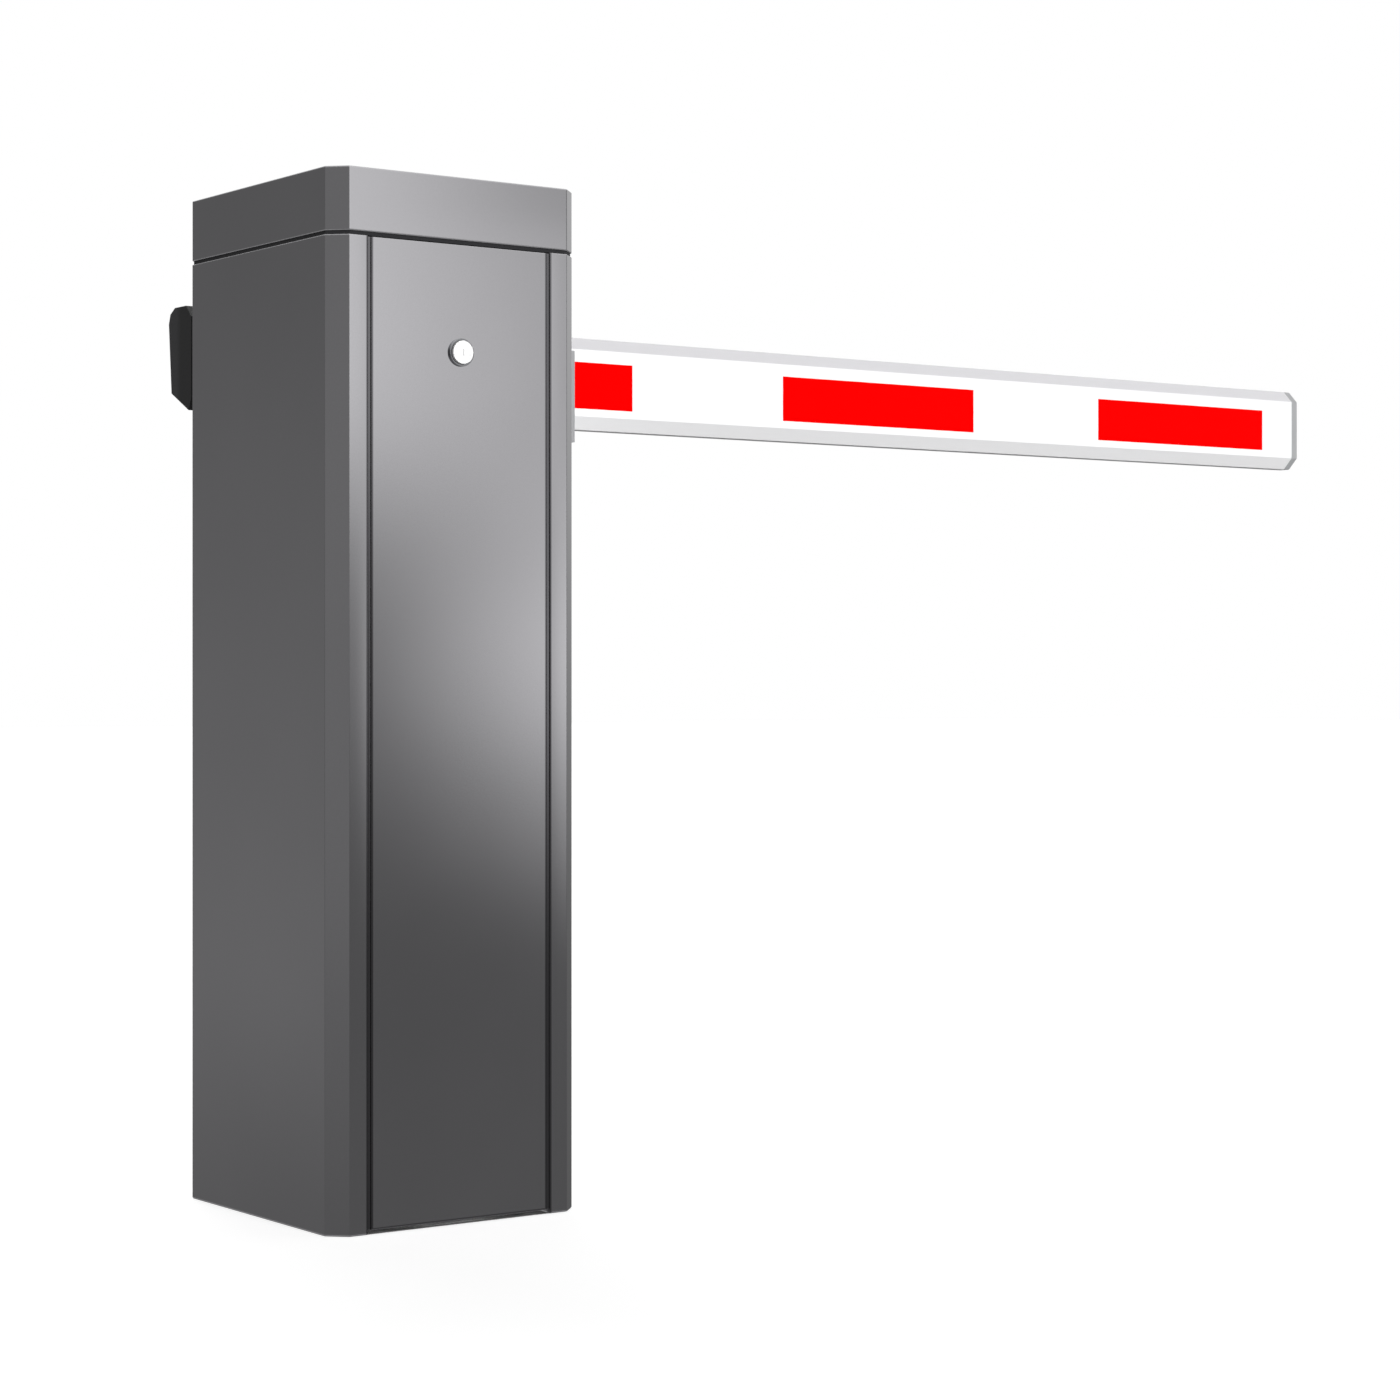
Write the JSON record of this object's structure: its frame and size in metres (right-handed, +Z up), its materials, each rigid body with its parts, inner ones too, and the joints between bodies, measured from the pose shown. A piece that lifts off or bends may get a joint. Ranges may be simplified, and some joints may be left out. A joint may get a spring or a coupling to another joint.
{
  "type": "parking barrier gate",
  "caption": "Boom barrier gate: sheet-steel cabinet with tilt-out door, cap and a spring-balanced octagonal boom lifted by a gearmotor crank drive.",
  "frame": {"origin": "on the ground at the centre of the cabinet's footprint", "axes": "+Z up, +X along the closed boom, the door faces -Y, the boom shaft runs along Y"},
  "size_m": [1.663, 0.428, 1.003],
  "materials": {
    "cabinet_paint": "satin fine-textured powder coat, metallic dark grey",
    "frame_paint": "matt primer-coated steel",
    "boom_white": "white powder coat, semi-gloss",
    "reflective_red": "retroreflective red film",
    "cap_grey": "moulded light grey plastic",
    "cap_black": "moulded black plastic",
    "bare_aluminium": "natural anodised extrusion",
    "zinc_steel": "bright zinc plate",
    "ground_steel": "ground and oiled",
    "lever_iron": "cast, dark grey enamel",
    "wheel_bronze": "cut bronze",
    "spring_steel": "oil-tempered wire",
    "motor_paint": "semi-gloss black",
    "rotor_iron": "varnished laminations",
    "rubber_black": "black rubber",
    "lock_chrome": "polished plate",
    "lock_white": "white cover disc",
    "device_grey": "light grey switchgear plastic",
    "toggle_black": "black lever",
    "board_green": "solder mask",
    "knob_red": "moulded red"
  },
  "bodies": {
    "cabinet": {"balance_springs": "spring_steel", "base_plate": "frame_paint", "bearing_housing_front": "lever_iron", "bearing_housing_rear": "lever_iron", "bearing_inserts": "ground_steel", "cabinet_body": "cabinet_paint", "cable_conduit": "toggle_black", "cap": "cabinet_paint", "cap_seal": "rubber_black", "circuit_board": "board_green", "circuit_breaker": "device_grey", "control_box": "cap_black", "control_plate": "frame_paint", "din_rail": "zinc_steel", "door_frame": "frame_paint", "door_hinge_brackets": "zinc_steel", "door_seal": "rubber_black", "frame_bolts": "zinc_steel", "front_beam": "frame_paint", "gearbox_cover": "bare_aluminium", "gearbox_housing": "bare_aluminium", "limit_switches": "device_grey", "motor_housing": "motor_paint", "motor_plate": "frame_paint", "rear_plate": "frame_paint", "rubber_buffers": "rubber_black", "shaft_seal": "rubber_black", "spring_adjusters": "zinc_steel", "spring_anchor": "frame_paint", "transformer": "motor_paint"},
    "boom": {"main_shaft": "ground_steel", "shaft_flange": "zinc_steel", "limit_cams": "zinc_steel", "rocker": "lever_iron", "rocker_pin": "zinc_steel", "spring_lever": "lever_iron", "boom_profile": "boom_white", "boom_tip_cap": "cap_grey", "boom_tail_cap": "cap_black", "reflectors": "reflective_red", "boom_spacers": "zinc_steel", "boom_cradle": "bare_aluminium", "clamp_pad": "rubber_black", "clamp_plate": "zinc_steel", "boom_bolts": "zinc_steel", "clamp_nuts": "zinc_steel"},
    "crank": {"output_shaft": "ground_steel", "worm_wheel": "wheel_bronze", "crank_arm": "lever_iron", "crank_pin": "zinc_steel"},
    "rod": {"connecting_rod": "lever_iron"},
    "worm": {"worm_shaft": "ground_steel", "motor_rotor": "rotor_iron", "release_knob": "knob_red"},
    "spring_link": {"spring_rod": "ground_steel"},
    "door": {"door": "cabinet_paint", "lock_barrel": "lock_chrome"},
    "lock": {"lock_plug": "lock_white", "lock_cam": "zinc_steel"},
    "toggle": {"breaker_toggle": "toggle_black"}
  },
  "joints": [
    {"name": "boom_lift", "type": "hinge", "parent": "cabinet", "child": "boom", "pos_m": [0, 0, 0.852], "axis": [0, -1, 0], "range_deg": [0, 90], "deforming": ["balance_springs"]},
    {"name": "crank_turn", "type": "hinge", "parent": "cabinet", "child": "crank", "pos_m": [0, 0, 0.56], "axis": [0, -1, 0], "range_deg": [0, 90]},
    {"name": "rod_swing", "type": "hinge", "parent": "crank", "child": "rod", "pos_m": [0.0495, 0.091, 0.5105], "axis": [0, -1, 0], "range_deg": [-90, 0]},
    {"name": "worm_spin", "type": "hinge", "parent": "cabinet", "child": "worm", "pos_m": [0.0495, 0.046, 0.56], "axis": [0, 0, -1], "range_deg": [0, 2700]},
    {"name": "spring_link_swing", "type": "hinge", "parent": "boom", "child": "spring_link", "pos_m": [-0.04, -0.024, 0.852], "axis": [0, -1, 0], "range_deg": [-102, 0]},
    {"name": "door_tilt", "type": "hinge", "parent": "cabinet", "child": "door", "pos_m": [0, -0.143, 0.014], "axis": [1, 0, 0], "range_deg": [0, 25]},
    {"name": "lock_turn", "type": "hinge", "parent": "door", "child": "lock", "pos_m": [0, -0.14, 0.835], "axis": [0, -1, 0], "range_deg": [0, 90]},
    {"name": "breaker_switch", "type": "hinge", "parent": "cabinet", "child": "toggle", "pos_m": [-0.042, -0.118, 0.2525], "axis": [1, 0, 0], "range_deg": [0, 55]}
  ],
  "couplings": [
    {"joint": "crank_turn", "follows": "boom_lift", "ratio": 1},
    {"joint": "rod_swing", "follows": "boom_lift", "ratio": -1},
    {"joint": "worm_spin", "follows": "boom_lift", "ratio": 30},
    {"joint": "spring_link_swing", "follows": "boom_lift", "ratio": -1.1282}
  ]
}
